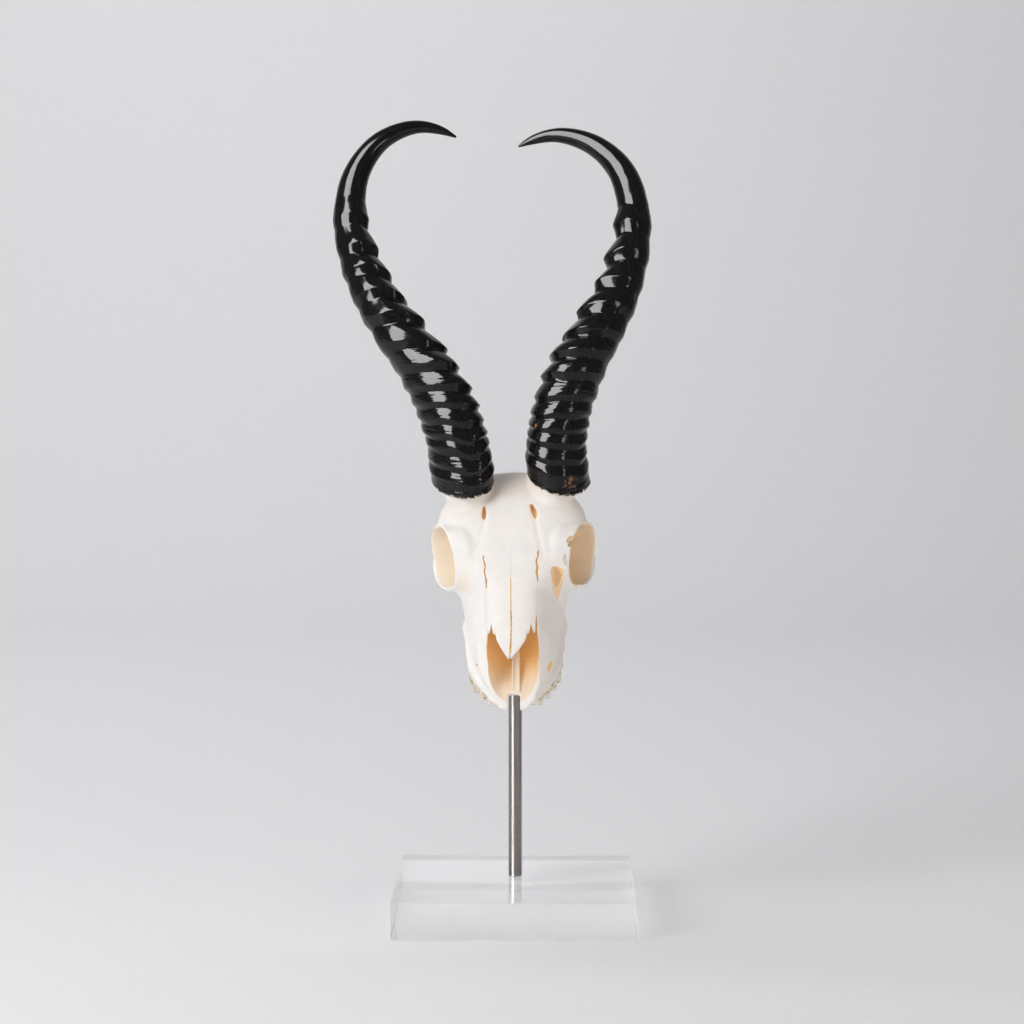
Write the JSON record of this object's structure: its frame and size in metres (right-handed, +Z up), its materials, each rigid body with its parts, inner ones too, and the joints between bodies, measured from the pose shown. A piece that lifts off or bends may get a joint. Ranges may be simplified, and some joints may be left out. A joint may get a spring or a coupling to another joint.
{
  "type": "springbok skull on a display stand",
  "caption": "Springbok ram skull with ringed black horns, no lower jaw, held face-down on an upright steel rod in a clear square block.",
  "frame": {"origin": "centre of the underside of the stand's block, the face that rests on the table", "axes": "+Z up along the rod, +X to the viewer's right, which is the skull's own left, +Y away from the viewer, towards the back of the skull"},
  "size_m": [0.2164, 0.1625, 0.5363],
  "materials": {
    "clear_acrylic": "polished clear acrylic",
    "brushed_steel": "lengthwise brushed",
    "white_bone": "bleached, dry, satin",
    "black_horn": "polished horn, semi-gloss"
  },
  "bodies": {
    "root": {"stand_base": "clear_acrylic", "stand_rod": "brushed_steel", "cranium": "white_bone", "maxillae": "white_bone", "nasal_left": "white_bone", "nasal_right": "white_bone", "horn_left": "black_horn", "horn_right": "black_horn"}
  },
  "joints": []
}
